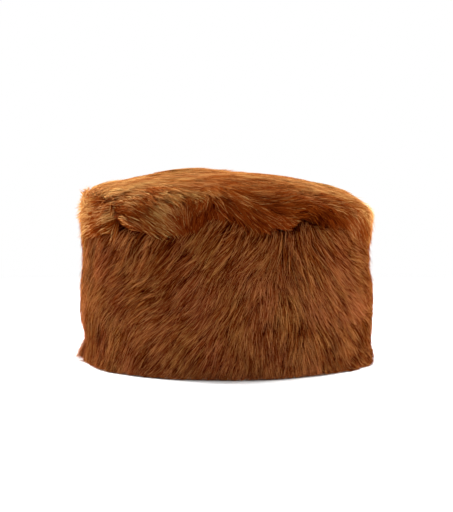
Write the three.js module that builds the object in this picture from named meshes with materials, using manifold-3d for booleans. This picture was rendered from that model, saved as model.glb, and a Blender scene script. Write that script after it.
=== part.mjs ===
// A tall round fur hat of the telpek kind: a hide tube and a hide disc under long brown fur.
// Millimetres, +Z up. The front faces -Y. The origin is the middle of the rim, on the floor.
// A bearing is an angle round the hat: 0 at the front, 90 at +X, -90 at -X and 180 at the back.
// A stand is a distance outwards from the head opening's oval.

import * as THREE from "three";
import { mergeVertices } from "three/addons/utils/BufferGeometryUtils.js";
import Module from "manifold-3d";

const wasm = await Module();
wasm.setup();

// Hide shell
const headHalfWidth = 84;
const headHalfDepth = 100;
const hideThickness = 2;
const sideHideHeight = 112;
const seamGap = 0.3;
const hideBearings = 40;

// Fur backings, which the locks stand out of
const furBearings = 42;
const lockRelief = 3;
const hemHeight = 1.2;
const creaseGap = 0.5;
const creaseStand = 24;
const creaseRound = 12;
const seamHeight = sideHideHeight - 1;
const innerFurStand = hideThickness + seamGap;

// Outline of the side fur with its locks, from the hem up to below the crease
const sideOutline = [
  { height: 0, stand: 28.5 },
  { height: 8, stand: 31 },
  { height: 20, stand: 33.5 },
  { height: 36, stand: 36 },
  { height: 54, stand: 36 },
  { height: 72, stand: 34.5 },
  { height: 88, stand: 33 },
  { height: 104, stand: 33 },
];

// Height of the crease between side and crown, with two places where the fur parts upwards
const creaseLine = [
  { bearing: -180, height: 112 },
  { bearing: -120, height: 109 },
  { bearing: -90, height: 107 },
  { bearing: -54, height: 109 },
  { bearing: -37, height: 114 },
  { bearing: -26, height: 110 },
  { bearing: -13, height: 113 },
  { bearing: -5, height: 123 },
  { bearing: 4, height: 122 },
  { bearing: 14, height: 114 },
  { bearing: 25, height: 116 },
  { bearing: 32, height: 122 },
  { bearing: 43, height: 117 },
  { bearing: 60, height: 115 },
  { bearing: 90, height: 112 },
  { bearing: 140, height: 113 },
];

// Crown pillow: its widest line, flat top and dome, and how square its shoulder is
const crownStand = 37.5;
const crownTop = 145;
const crownDome = 12;
const bulgeLevel = 119.5;
const bulgeTilt = -2.5;
const bulgeOverCrease = 7;
const shoulderPower = 3.5;
const shoulderPowerTilt = -1.5;

// Comb direction of the side fur, in degrees from straight down, positive to increasing bearing
const sideCombing = [
  { bearing: -180, top: 6, foot: -4 },
  { bearing: -130, top: -14, foot: -8 },
  { bearing: -90, top: -20, foot: -12 },
  { bearing: -60, top: -26, foot: -16 },
  { bearing: -35, top: -42, foot: -34 },
  { bearing: -10, top: -48, foot: -36 },
  { bearing: 8, top: -24, foot: -16 },
  { bearing: 20, top: 2, foot: -4 },
  { bearing: 45, top: 38, foot: 6 },
  { bearing: 70, top: 60, foot: 28 },
  { bearing: 100, top: 54, foot: 30 },
  { bearing: 145, top: 18, foot: 12 },
];

// Comb direction of the crown fur, in degrees from straight outwards
const crownCombing = [
  { bearing: -180, top: 20, foot: 8 },
  { bearing: -135, top: 0, foot: -8 },
  { bearing: -90, top: 0, foot: 0 },
  { bearing: -62, top: 0, foot: 8 },
  { bearing: -40, top: 20, foot: 40 },
  { bearing: -18, top: 10, foot: 14 },
  { bearing: -4, top: 40, foot: 55 },
  { bearing: 16, top: 60, foot: 50 },
  { bearing: 34, top: 60, foot: 24 },
  { bearing: 52, top: 35, foot: 14 },
  { bearing: 90, top: 5, foot: 0 },
  { bearing: 140, top: -10, foot: -12 },
];

// Rows of locks: roots as a share of the way down, number in the row, length and width
const sideLockRows = [
  { root: 0.04, count: 22, length: 43, width: 34 },
  { root: 0.27, count: 22, length: 43, width: 34 },
  { root: 0.5, count: 22, length: 43, width: 34 },
  { root: 0.74, count: 22, length: 40, width: 34 },
];
const crownLockRows = [
  { root: 0.14, count: 5, length: 44, width: 38 },
  { root: 0.4, count: 13, length: 44, width: 36 },
  { root: 0.68, count: 22, length: 38, width: 34 },
];
const lockStations = [
  { along: 0, width: 0.3, rise: -0.4, sink: 5 },
  { along: 0.28, width: 0.86, rise: 0.8, sink: 5 },
  { along: 0.56, width: 1, rise: 1, sink: 4.5 },
  { along: 0.82, width: 0.62, rise: 1.1, sink: 4 },
];
const lockEdgeSink = 3;
const lockShoulder = { across: 0.5, rise: 0.85 };
const lockTipRise = 1;
const lockSteps = 14;
const lengthJitter = 0.14;
const widthJitter = 0.1;
const placeJitter = 0.14;

// One stray lock at the left end of the hem, which stands out sideways
const strayLock = { bearing: -86, root: 0.86, length: 15, width: 11, comb: -30, flare: 7 };

const furMaterial = new THREE.MeshStandardMaterial({ color: 0x6e391b, roughness: 0.85, metalness: 0 });
const crownMaterial = new THREE.MeshStandardMaterial({ color: 0xa3662f, roughness: 0.85, metalness: 0 });
const hideMaterial = new THREE.MeshStandardMaterial({ color: 0xb58c62, roughness: 0.9, metalness: 0 });

const radians = THREE.MathUtils.degToRad;
const degrees = THREE.MathUtils.radToDeg;
const mix = THREE.MathUtils.lerp;
const fullTurn = 360;

// A repeatable value between -1 and 1 for each lock and use
function scatter(index, use) {
  const wave = Math.sin(index * 12.9898 + use * 78.233) * 43758.5453;
  return 2 * (wave - Math.floor(wave)) - 1;
}

function wrapBearing(bearing) {
  return THREE.MathUtils.euclideanModulo(bearing + 180, fullTurn) - 180;
}

// Smooth value of a table's column at a place between its rows, and flat past its ends
function columnAt(rows, key, column, at) {
  const next = rows.findIndex((row) => row[key] > at);
  if (next < 1) {
    return rows[next === 0 ? 0 : rows.length - 1][column];
  }
  const before = rows[next - 1];
  const share = THREE.MathUtils.smoothstep(at, before[key], rows[next][key]);
  return mix(before[column], rows[next][column], share);
}

// The same round the hat, where the last row runs on into the first
function roundValue(rows, column, bearing) {
  const closed = [...rows, { ...rows[0], bearing: rows[0].bearing + fullTurn }];
  return columnAt(closed, "bearing", column, wrapBearing(bearing));
}

function ovalPoint(bearing, stand, height) {
  const angle = radians(bearing);
  const x = (headHalfWidth + stand) * Math.sin(angle);
  const y = -(headHalfDepth + stand) * Math.cos(angle);
  return new THREE.Vector3(x, y, height);
}

function creaseHeight(bearing) {
  return roundValue(creaseLine, "height", bearing);
}

// Section of the side backing at one bearing, from the crease down to the hem
function sideProfile(bearing) {
  const rim = creaseHeight(bearing);
  const shoulder = [1, 0.7, 0.35, 0].map((up) => {
    const height = rim - creaseRound * (1 - up);
    const upright = columnAt(sideOutline, "height", "stand", height) - lockRelief;
    const stand = mix(upright, creaseStand, 1 - Math.sqrt(1 - up * up));
    return ovalPoint(bearing, stand, height);
  });
  const wall = sideOutline.slice(0, -1).reverse();
  return [...shoulder, ...wall.map((row) => ovalPoint(bearing, row.stand - lockRelief, row.height))];
}

// Section of the crown backing at one bearing, from its middle over the shoulder to the crease
function crownProfile(bearing) {
  const rim = creaseHeight(bearing) + creaseGap;
  const bulge = Math.max(bulgeLevel + bulgeTilt * Math.sin(radians(bearing)), rim + bulgeOverCrease);
  const power = shoulderPower + shoulderPowerTilt * Math.sin(radians(bearing));
  const top = crownTop - lockRelief;
  const widest = ovalPoint(bearing, crownStand - lockRelief, 0);
  const over = [0, 0.38, 0.66, 0.84, 0.94, 0.985, 1].map((reach) => {
    const shoulder = Math.pow(1 - Math.pow(reach, power), 1 / power);
    const height = bulge + (top - bulge) * shoulder + crownDome * (1 - reach * reach);
    return new THREE.Vector3(widest.x * reach, widest.y * reach, height);
  });
  const under = [0.5, 1].map((share) => {
    const angle = share * Math.PI / 2;
    const stand = mix(crownStand - lockRelief, creaseStand, 1 - Math.cos(angle));
    return ovalPoint(bearing, stand, mix(bulge, rim, Math.sin(angle)));
  });
  return [...over, ...under];
}

function profileLength(profile) {
  return profile.slice(1).reduce((sum, point, index) => sum + point.distanceTo(profile[index]), 0);
}

// Point of a section at a share of its length
function profilePoint(profile, share) {
  let left = share * profileLength(profile);
  let index = 0;
  while (index < profile.length - 2 && left > profile[index].distanceTo(profile[index + 1])) {
    left -= profile[index].distanceTo(profile[index + 1]);
    index += 1;
  }
  const step = profile[index].distanceTo(profile[index + 1]);
  return profile[index].clone().lerp(profile[index + 1], left / step);
}

// Point of a surface with its directions down the section, round the hat and outwards
function surfaceFrame(profileOf, bearing, share) {
  const near = 0.02;
  const point = profilePoint(profileOf(bearing), share);
  const above = profilePoint(profileOf(bearing), share - near);
  const below = profilePoint(profileOf(bearing), share + near);
  const before = profilePoint(profileOf(bearing - 2), share);
  const after = profilePoint(profileOf(bearing + 2), share);
  const down = below.sub(above).normalize();
  const round = after.sub(before).normalize();
  const out = new THREE.Vector3().crossVectors(down, round).normalize();
  return { point, down, round, out };
}

function meshGeometry(points, triangles) {
  const geometry = new THREE.BufferGeometry();
  geometry.setFromPoints(points);
  geometry.setIndex(triangles);
  return geometry;
}

// A ring all round the hat from one closed section per bearing
function ringGeometry(bearings, sectionAt) {
  const points = [];
  const triangles = [];
  for (let turn = 0; turn < bearings; turn += 1) {
    points.push(...sectionAt(wrapBearing(turn * fullTurn / bearings)));
  }
  const around = points.length / bearings;
  for (let turn = 0; turn < bearings; turn += 1) {
    for (let corner = 0; corner < around; corner += 1) {
      const here = turn * around;
      const there = ((turn + 1) % bearings) * around;
      const next = (corner + 1) % around;
      triangles.push(here + corner, there + next, there + corner);
      triangles.push(here + corner, here + next, there + next);
    }
  }
  return meshGeometry(points, triangles);
}

// A body closed at both ends of its axis from one open section per bearing, listed from the top
function cappedGeometry(bearings, top, bottom, sectionAt) {
  const points = [];
  const triangles = [];
  for (let turn = 0; turn < bearings; turn += 1) {
    points.push(...sectionAt(wrapBearing(turn * fullTurn / bearings)));
  }
  const along = points.length / bearings;
  const topIndex = points.length;
  const bottomIndex = topIndex + 1;
  points.push(new THREE.Vector3(0, 0, top), new THREE.Vector3(0, 0, bottom));
  for (let turn = 0; turn < bearings; turn += 1) {
    const here = turn * along;
    const there = ((turn + 1) % bearings) * along;
    triangles.push(topIndex, here, there);
    triangles.push(bottomIndex, there + along - 1, here + along - 1);
    for (let step = 0; step < along - 1; step += 1) {
      triangles.push(here + step, here + step + 1, there + step + 1);
      triangles.push(here + step, there + step + 1, there + step);
    }
  }
  return meshGeometry(points, triangles);
}

function solidOf(geometry) {
  const vertProperties = new Float32Array(geometry.getAttribute("position").array);
  const triVerts = new Uint32Array(geometry.getIndex().array);
  return new wasm.Manifold(new wasm.Mesh({ numProp: 3, vertProperties, triVerts }));
}

function geometryOf(solid) {
  const result = solid.getMesh();
  const geometry = new THREE.BufferGeometry();
  geometry.setAttribute("position", new THREE.BufferAttribute(result.vertProperties, 3));
  geometry.setIndex(new THREE.BufferAttribute(result.triVerts, 1));
  return geometry;
}

// Path of a lock along the combing, as places with a point and an outward and a sideways direction
function combPath(profileOf, combing, lock) {
  const places = [];
  const distance = lock.length / lockSteps;
  let { bearing, root: share } = lock;
  for (let step = 0; step <= lockSteps; step += 1) {
    const frame = surfaceFrame(profileOf, bearing, share);
    const comb = lock.comb ?? mix(
      roundValue(combing, "top", bearing),
      roundValue(combing, "foot", bearing),
      THREE.MathUtils.clamp(share, 0, 1),
    );
    const angle = radians(comb);
    const ahead = frame.down.clone().multiplyScalar(Math.cos(angle));
    ahead.addScaledVector(frame.round, Math.sin(angle));
    const side = new THREE.Vector3().crossVectors(frame.out, ahead).normalize();
    const flare = (lock.flare ?? 0) * (step / lockSteps) ** 2;
    places.push({ point: frame.point.addScaledVector(frame.out, flare), out: frame.out, side });
    const radius = Math.max(Math.hypot(frame.point.x, frame.point.y), lock.width / 2);
    bearing += degrees(distance * Math.sin(angle) / radius);
    share += distance * Math.cos(angle) / profileLength(profileOf(bearing));
  }
  return places;
}

// One tapered lock along a path: a keel inside the backing, two edges and two shoulders
function lockGeometry(places, width) {
  const points = [];
  const triangles = [];
  for (const station of lockStations) {
    const place = places[Math.round(station.along * lockSteps)];
    const half = width * station.width / 2;
    const corner = (across, up) => place.point.clone()
      .addScaledVector(place.side, across * half)
      .addScaledVector(place.out, up);
    const crest = lockRelief * station.rise * lockShoulder.rise;
    points.push(corner(0, -station.sink), corner(1, -lockEdgeSink));
    points.push(corner(lockShoulder.across, crest), corner(-lockShoulder.across, crest));
    points.push(corner(-1, -lockEdgeSink));
  }
  const tip = places[lockSteps];
  points.push(tip.point.clone().addScaledVector(tip.out, lockRelief * lockTipRise));
  const around = 5;
  const last = (lockStations.length - 1) * around;
  for (let corner = 0; corner < around; corner += 1) {
    const next = (corner + 1) % around;
    for (let here = 0; here < last; here += around) {
      const there = here + around;
      triangles.push(here + corner, here + next, there + next);
      triangles.push(here + corner, there + next, there + corner);
    }
    triangles.push(last + corner, last + next, points.length - 1);
  }
  for (let corner = 1; corner < around - 1; corner += 1) {
    triangles.push(0, corner + 1, corner);
  }
  return meshGeometry(points, triangles);
}

// The locks of all rows, staggered from row to row and a little uneven
function lockRows(rows, profileOf, combing) {
  const locks = [];
  rows.forEach((row, rowIndex) => {
    for (let number = 0; number < row.count; number += 1) {
      const index = locks.length;
      const shift = rowIndex % 2 / 2 + placeJitter * scatter(index, 1);
      const lock = {
        bearing: (number + shift) * fullTurn / row.count,
        root: row.root,
        length: row.length * (1 + lengthJitter * scatter(index, 2)),
        width: row.width * (1 + widthJitter * scatter(index, 3)),
      };
      locks.push(lockGeometry(combPath(profileOf, combing, lock), lock.width));
    }
  });
  return locks;
}

function joined(backing, locks) {
  return locks.reduce((fur, lock) => fur.add(solidOf(lock)), solidOf(backing));
}

// Space under the seam between the furs, from the hide out past the crease
function belowSeam(lift) {
  const floor = -20;
  const past = 40;
  const section = (bearing) => [
    ovalPoint(bearing, innerFurStand, seamHeight + lift),
    ovalPoint(bearing, creaseStand, creaseHeight(bearing) + lift),
    ovalPoint(bearing, creaseStand + past, creaseHeight(bearing) + lift),
    ovalPoint(bearing, creaseStand + past, floor),
    ovalPoint(bearing, innerFurStand, floor),
  ];
  return solidOf(ringGeometry(furBearings, section));
}

// Box under the hem, to trim the fur level with it
function hemCut() {
  const depth = 40;
  const box = new THREE.BoxGeometry(4 * headHalfWidth, 4 * headHalfDepth, depth);
  box.deleteAttribute("normal");
  box.deleteAttribute("uv");
  box.translate(0, 0, hemHeight - depth / 2);
  return solidOf(mergeVertices(box));
}

function sidePelt() {
  const section = (bearing) => [
    ovalPoint(bearing, hideThickness, sideHideHeight),
    ovalPoint(bearing, hideThickness, 0),
    ovalPoint(bearing, 0, 0),
    ovalPoint(bearing, 0, sideHideHeight),
  ];
  return ringGeometry(hideBearings, section);
}

// Flat disc that lies on the tube's upper edge
function crownPelt() {
  const under = sideHideHeight + seamGap;
  const over = under + hideThickness;
  const section = (bearing) => [
    ovalPoint(bearing, hideThickness, over),
    ovalPoint(bearing, hideThickness, under),
  ];
  return cappedGeometry(hideBearings, over, under, section);
}

function sideFur() {
  const section = (bearing) => [
    ...sideProfile(bearing),
    ovalPoint(bearing, innerFurStand, 0),
    ovalPoint(bearing, innerFurStand, seamHeight),
  ];
  const locks = lockRows(sideLockRows, sideProfile, sideCombing);
  const stray = combPath(sideProfile, sideCombing, strayLock);
  locks.push(lockGeometry(stray, strayLock.width));
  const fur = joined(ringGeometry(furBearings, section), locks);
  return geometryOf(fur.intersect(belowSeam(0)).subtract(hemCut()));
}

function crownFur() {
  const seat = sideHideHeight + hideThickness + 2 * seamGap;
  const section = (bearing) => [
    ...crownProfile(bearing).slice(1),
    ovalPoint(bearing, innerFurStand, seamHeight + creaseGap),
    ovalPoint(bearing, innerFurStand, seat),
  ];
  const top = crownTop - lockRelief + crownDome;
  const backing = cappedGeometry(furBearings, top, seat, section);
  const fur = joined(backing, lockRows(crownLockRows, crownProfile, crownCombing));
  return geometryOf(fur.subtract(belowSeam(creaseGap)));
}

function part(name, geometry, material) {
  const mesh = new THREE.Mesh(geometry, material);
  mesh.name = name;
  return mesh;
}

const group = new THREE.Group();
group.add(part("side_pelt", sidePelt(), hideMaterial));
group.add(part("crown_pelt", crownPelt(), hideMaterial));
group.add(part("side_fur", sideFur(), furMaterial));
group.add(part("crown_fur", crownFur(), crownMaterial));

export default group;
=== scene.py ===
"""Looks of the tall fur hat: its combed hair as fine tapered ribbons, a suede hide and a pale studio.

Shapes are worked out in millimetres and put into meshes in metres. The front faces -Y.
A bearing is an angle round the hat in degrees: 0 at the front, 90 at +X, -90 at -X, 180 at the back.
A stand is a distance outwards from the head opening's oval.
A share runs down a section of the fur: 0 at its upper end and 1 at its lower end.
A lean is the combing's angle from straight down the section, positive to increasing bearing.
"""

import math

import bpy
import numpy as np
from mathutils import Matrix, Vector


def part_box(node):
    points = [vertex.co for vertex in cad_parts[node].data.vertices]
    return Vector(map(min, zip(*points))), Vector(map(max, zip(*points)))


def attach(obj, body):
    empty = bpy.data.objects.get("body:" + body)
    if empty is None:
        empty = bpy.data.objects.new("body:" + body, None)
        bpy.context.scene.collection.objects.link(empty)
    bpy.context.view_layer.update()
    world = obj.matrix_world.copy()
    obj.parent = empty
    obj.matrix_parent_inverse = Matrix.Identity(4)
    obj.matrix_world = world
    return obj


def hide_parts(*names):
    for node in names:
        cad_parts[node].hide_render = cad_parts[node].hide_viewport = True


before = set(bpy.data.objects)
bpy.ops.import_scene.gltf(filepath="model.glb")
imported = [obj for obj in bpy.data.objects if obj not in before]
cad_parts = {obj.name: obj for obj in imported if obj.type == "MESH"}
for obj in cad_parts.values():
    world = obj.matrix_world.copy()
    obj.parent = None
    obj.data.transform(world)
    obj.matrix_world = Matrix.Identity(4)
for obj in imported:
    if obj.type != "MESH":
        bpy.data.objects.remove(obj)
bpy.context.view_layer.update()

MM = 0.001
BODY = "root"
SEED = 1881

# Sizes from the frame
HIDE_THICKNESS = 2.0
TUBE_HIGH = np.array(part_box("side_pelt")[1]) / MM
DISC_LOW = np.array(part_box("crown_pelt")[0]) / MM
HALF_WIDTH = TUBE_HIGH[0] - HIDE_THICKNESS
HALF_DEPTH = TUBE_HIGH[1] - HIDE_THICKNESS
TUBE_TOP = TUBE_HIGH[2]

# Outline of the side fur, as in the solids but fuller near the hem
SIDE_OUTLINE = [
    dict(height=0, stand=33),
    dict(height=8, stand=34),
    dict(height=20, stand=34.5),
    dict(height=36, stand=36),
    dict(height=54, stand=36),
    dict(height=72, stand=34.5),
    dict(height=88, stand=33),
    dict(height=104, stand=33),
]

# Bottom of the crease, and the round upper edge of the side fur
CREASE_STAND = 24
CREASE_ROUND = 7

# Crease round the hat: its height, how far out the furs meet, and how far past it the crown hair falls
CREASE_LINE = [
    dict(bearing=-180, height=112, meet=33.5, past=14),
    dict(bearing=-120, height=109, meet=34, past=15),
    dict(bearing=-90, height=107, meet=35, past=14),
    dict(bearing=-54, height=109, meet=33, past=6),
    dict(bearing=-37, height=114, meet=31.5, past=4),
    dict(bearing=-26, height=110, meet=33, past=3),
    dict(bearing=-13, height=113, meet=32.5, past=3),
    dict(bearing=-5, height=123, meet=31.5, past=3),
    dict(bearing=4, height=122, meet=32, past=4),
    dict(bearing=14, height=114, meet=33, past=3),
    dict(bearing=25, height=116, meet=31, past=3),
    dict(bearing=32, height=122, meet=29, past=3),
    dict(bearing=43, height=117, meet=31, past=5),
    dict(bearing=60, height=115, meet=33.5, past=9),
    dict(bearing=90, height=112, meet=34, past=15),
    dict(bearing=140, height=113, meet=33.5, past=15),
]

# Crown pillow, as in the solids, and how far its hair lies outside the side fur where it falls over it
CROWN_STAND = 37.5
CROWN_TOP = 145
CROWN_DOME = 12
BULGE_LEVEL = 119.5
BULGE_TILT = -2.5
BULGE_OVER_CREASE = 7
SHOULDER_POWER = 3.5
SHOULDER_POWER_TILT = -1.5
DROOP_OVER_SIDE = 1.5

# Lean of the side hair near the crease, at half height and at the hem
SIDE_COMBING = [
    dict(bearing=-180, top=6, middle=0, foot=-4),
    dict(bearing=-130, top=-14, middle=-10, foot=-8),
    dict(bearing=-90, top=-18, middle=-16, foot=-10),
    dict(bearing=-69, top=-12, middle=-16, foot=-8),
    dict(bearing=-54, top=-44, middle=-36, foot=-24),
    dict(bearing=-40, top=-36, middle=-46, foot=-34),
    dict(bearing=-26, top=-46, middle=-46, foot=-42),
    dict(bearing=-12, top=-44, middle=-42, foot=-42),
    dict(bearing=1, top=-42, middle=-28, foot=-24),
    dict(bearing=9, top=-38, middle=-24, foot=-4),
    dict(bearing=15, top=-32, middle=-20, foot=-2),
    dict(bearing=22, top=-12, middle=4, foot=-10),
    dict(bearing=29, top=10, middle=24, foot=-2),
    dict(bearing=37, top=34, middle=38, foot=18),
    dict(bearing=47, top=50, middle=46, foot=32),
    dict(bearing=58, top=60, middle=60, foot=46),
    dict(bearing=78, top=60, middle=54, foot=38),
    dict(bearing=105, top=50, middle=36, foot=26),
    dict(bearing=145, top=18, middle=14, foot=12),
]

# Heights where the side's lean starts to turn from one level's to the next, and how far that takes
FOOT_TO_MIDDLE = 16
MIDDLE_TO_TOP = 62
LEAN_BLEND = 42

# Lean of the crown hair at places on the crown
CROWN_COMBING = [
    dict(bearing=0, share=0.08, lean=72),
    dict(bearing=90, share=0.08, lean=-18),
    dict(bearing=180, share=0.08, lean=-108),
    dict(bearing=-90, share=0.08, lean=162),
    dict(bearing=0, share=0.35, lean=68),
    dict(bearing=90, share=0.35, lean=-10),
    dict(bearing=140, share=0.45, lean=-70),
    dict(bearing=140, share=0.75, lean=-20),
    dict(bearing=180, share=0.3, lean=-112),
    dict(bearing=180, share=0.8, lean=0),
    dict(bearing=-140, share=0.45, lean=-150),
    dict(bearing=-140, share=0.75, lean=20),
    dict(bearing=-90, share=0.35, lean=162),
    dict(bearing=-45, share=0.4, lean=108),
    dict(bearing=-90, share=0.62, lean=150),
    dict(bearing=-60, share=0.62, lean=96),
    dict(bearing=-76, share=0.7, lean=130),
    dict(bearing=-90, share=0.8, lean=-70),
    dict(bearing=-90, share=0.86, lean=-78),
    dict(bearing=-68, share=0.86, lean=-88),
    dict(bearing=-76, share=0.95, lean=-66),
    dict(bearing=-115, share=0.86, lean=-48),
    dict(bearing=-54, share=0.89, lean=-82),
    dict(bearing=-45, share=0.74, lean=80),
    dict(bearing=-39, share=0.92, lean=76),
    dict(bearing=-34, share=0.78, lean=66),
    dict(bearing=-34, share=0.94, lean=74),
    dict(bearing=-24, share=0.88, lean=56),
    dict(bearing=-20, share=0.65, lean=64),
    dict(bearing=-15, share=0.88, lean=4),
    dict(bearing=-9, share=0.84, lean=-34),
    dict(bearing=-4, share=0.93, lean=10),
    dict(bearing=0, share=0.84, lean=70),
    dict(bearing=-5, share=0.7, lean=24),
    dict(bearing=7, share=0.86, lean=60),
    dict(bearing=8, share=0.72, lean=76),
    dict(bearing=16, share=0.86, lean=56),
    dict(bearing=17, share=0.72, lean=92),
    dict(bearing=24, share=0.86, lean=66),
    dict(bearing=27, share=0.72, lean=112),
    dict(bearing=31, share=0.84, lean=86),
    dict(bearing=38, share=0.9, lean=48),
    dict(bearing=42, share=0.72, lean=88),
    dict(bearing=52, share=0.86, lean=60),
    dict(bearing=70, share=0.8, lean=66),
    dict(bearing=76, share=0.92, lean=50),
    dict(bearing=100, share=0.86, lean=40),
    dict(bearing=140, share=0.86, lean=10),
    dict(bearing=180, share=0.85, lean=10),
    dict(bearing=-140, share=0.8, lean=14),
]

# How much an arrow of the crown's chart blurs, and how fast it fades with distance
ARROW_BLUR = 0.004
ARROW_FADE = 1.7


def patch(bearing, height, wide, tall, stand=34, dip=0, shade=0, flare=0, calm=0, trim=0):
    """A place where the fur differs, which fades out from its middle. Wide and tall are half sizes.

    The fur sinks by the dip, lightens by the shade (a negative shade darkens), stands out at its tips by the
    flare, loses contrast by the calm and gets shorter by the trim. The shade is mostly painted light and
    shade, lighter where light falls and darker in partings, pits and creases, with some of the fur's own
    lighter and darker patches.
    """
    return dict(
        bearing=bearing, height=height, wide=wide, tall=tall, stand=stand,
        dip=dip, shade=shade, flare=flare, calm=calm, trim=trim,
    )


# Where the side fur differs. Most shades here are painted light and shade: the flanks painted lighter as if
# rim-lit, and the partings and spots by the crease painted darker as shade.
SIDE_PATCHES = [
    patch(-36, 102, wide=5, tall=16, dip=5, shade=-0.6),
    patch(-44, 104, wide=7, tall=8, dip=-1.2, shade=0.2),
    patch(-82, 24, wide=24, tall=9, dip=9),
    patch(-88, 11, wide=12, tall=4.5, shade=0.15, flare=18),
    patch(21, 112, wide=16, tall=6, dip=1.5, shade=-0.15),
    patch(33, 117, wide=12, tall=7, dip=3, shade=-0.25),
    patch(-10, 112, wide=9, tall=7, dip=2, shade=-0.15),
    patch(70, 2, wide=34, tall=13, dip=-5.5),
    patch(90, 98, wide=34, tall=20, dip=1.2),
    patch(-92, 60, wide=34, tall=70, shade=0.22),
    patch(92, 60, wide=34, tall=70, shade=0.12),
    patch(44, 46, wide=34, tall=26, shade=0.1),
    patch(48, 108, wide=20, tall=10, shade=-0.18),
    patch(-13, 80, wide=22, tall=16, shade=-0.22),
    patch(17, 66, wide=30, tall=20, shade=0.2),
    patch(29, 68, wide=14, tall=14, shade=0.14),
    patch(-13, 104, wide=24, tall=8, shade=0.12),
    patch(54, 30, wide=18, tall=24, shade=-0.09),
    patch(-62, 68, wide=14, tall=20, shade=0.15),
    patch(24, 96, wide=40, tall=14, shade=-0.1),
    patch(20, 14, wide=56, tall=14, shade=0.08),
]
# Where the crown fur differs. Most shades here are painted light and shade: the rim-lit ends and parts of the
# top painted lighter, and the front, parts of the top, the partings, pits and spots under the overhang
# painted darker as shade.
CROWN_PATCHES = [
    patch(-46, 126, wide=12, tall=4, dip=2, shade=-0.3),
    patch(-40, 119, wide=24, tall=3, dip=-0.5, shade=0.14),
    patch(-84, 126, wide=34, tall=18, calm=0.4),
    patch(-6, 128, wide=7, tall=7, dip=2, shade=-0.25),
    patch(35, 127, wide=19, tall=10, dip=2, shade=-0.38),
    patch(-18, 108, wide=28, tall=9, trim=0.45),
    patch(16, 110, wide=24, tall=9, trim=0.35),
    patch(48, 112, wide=20, tall=8, trim=0.3),
    patch(90, 157, stand=-73, wide=26, tall=30, dip=2.2),
    patch(-90, 157, stand=-53, wide=27, tall=30, dip=-3.8),
    patch(-90, 135, stand=28, wide=16, tall=12, dip=-3.5),
    patch(90, 140, stand=10, wide=16, tall=12, dip=-2),
    patch(-92, 122, wide=26, tall=14, dip=2, flare=6),
    patch(80, 130, wide=30, tall=20, calm=0.5),
    patch(8, 122, wide=44, tall=14, shade=-0.1),
    patch(86, 122, wide=16, tall=6, flare=3),
    patch(-90, 158, stand=-77, wide=4, tall=10, flare=3),
    patch(-24, 133, wide=28, tall=11, shade=0.26, calm=0.5),
    patch(-86, 126, wide=32, tall=20, shade=0.34),
    patch(-66, 130, wide=22, tall=12, shade=0.16),
    patch(-53, 137, wide=15, tall=10, shade=0.32, calm=0.3),
    patch(-50, 118, wide=14, tall=12, shade=0.12),
    patch(42, 139, wide=16, tall=7, shade=0.2),
    patch(42, 116, wide=15, tall=9, shade=-0.3),
    patch(9, 119, wide=15, tall=10, shade=-0.14),
    patch(-14, 118, wide=14, tall=9, shade=-0.22),
    patch(84, 128, wide=30, tall=22, shade=0.42),
    patch(66, 148, stand=14, wide=40, tall=14, shade=0.1),
    patch(90, 155, stand=-20, wide=50, tall=30, shade=-0.06),
    patch(8, 152, stand=-10, wide=44, tall=20, shade=-0.13),
]

# Extra clumps: the stray tuft at the left of the hem, and thin spots where the crown's partings meet
SIDE_TUFTS = [dict(bearing=-88, share=0.775, turn=2.2, drop=0.01, clumps=16)]
CROWN_TUFTS = [
    dict(bearing=-47, share=0.82, turn=4, drop=0.045, clumps=18),
    dict(bearing=-52, share=0.74, turn=5, drop=0.03, clumps=14),
    dict(bearing=-10, share=0.71, turn=4, drop=0.03, clumps=8),
]

# Points of the lines that the sections are made of
EDGE_POINTS = 14
UPRIGHT_POINTS = 60
OVER_POINTS = 70
DROOP_POINTS = 12
TUCK_POINTS = 10

# Grid of each fur's outer form
BEARING_STEP = 2.0
BEARINGS = np.arange(0, 360, BEARING_STEP)
SECTION_POINTS = 81

# Hair of the side, with depths from the outer form inwards
SIDE_HAIR = dict(
    # Spacing of its clumps, the shares that they root between, and the least share of any root
    spacing=5.8, first=-0.06, last=0.97, least=-0.06, tufts=SIDE_TUFTS,
    # Wisps in a clump, strands in a wisp, and the length of a strand
    wisps=32, strands=2, length=31,
    # Shares of the strand where its points lie, its width at each, and the range of its half width
    stations=(0, 0.5, 1.0), widths=(0.75, 1.0, 0.0), half=(0.22, 0.36),
    # Depth of a root, share of the strand by which it has come up, and how far it sinks, puffs and lifts
    root_depth=8, rise=0.62, sink=1.2, puff=1.2, tip_rise=0.8, patches=SIDE_PATCHES,
    # Degrees that it strays from the combing, and the share of the combing's turns that it follows
    wander=10, bend=1.0,
    # Contrast between strands, and how much lighter the flat top is painted, as painted light from above
    contrast=1.3, painted_top_light=0.0,
)

# Hair of the crown
CROWN_HAIR = dict(
    spacing=5.6, first=0.02, last=0.96, least=0.01, tufts=CROWN_TUFTS,
    wisps=18, strands=2, length=23,
    stations=(0, 0.36, 0.7, 1.0), widths=(0.7, 1.0, 0.85, 0.0), half=(0.18, 0.32),
    root_depth=7, rise=0.6, sink=2.6, puff=0.8, tip_rise=0.8, patches=CROWN_PATCHES,
    wander=4, bend=0.35,
    # Its flat top is painted lighter: painted light from above
    contrast=0.5, painted_top_light=0.22,
)

# A clump's line: its steps, the step at its middle, and its length as a share of the hair's
PATH_STEPS = 7
MIDDLE_STEP = 3
PATH_REACH = 1.25

# Just short of a line's end, so that a place on it always has a point after it
LINE_END = 0.9999

# Least length or radius in a division
TINY = 1e-3

# Lengths of the soft waves that turn, puff and colour the clumps, and how far their parts differ
WAVES = dict(turn=46, puff=30, tone=34, hue=40)
WAVE_SPREAD = (0.7, 1.4)

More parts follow.
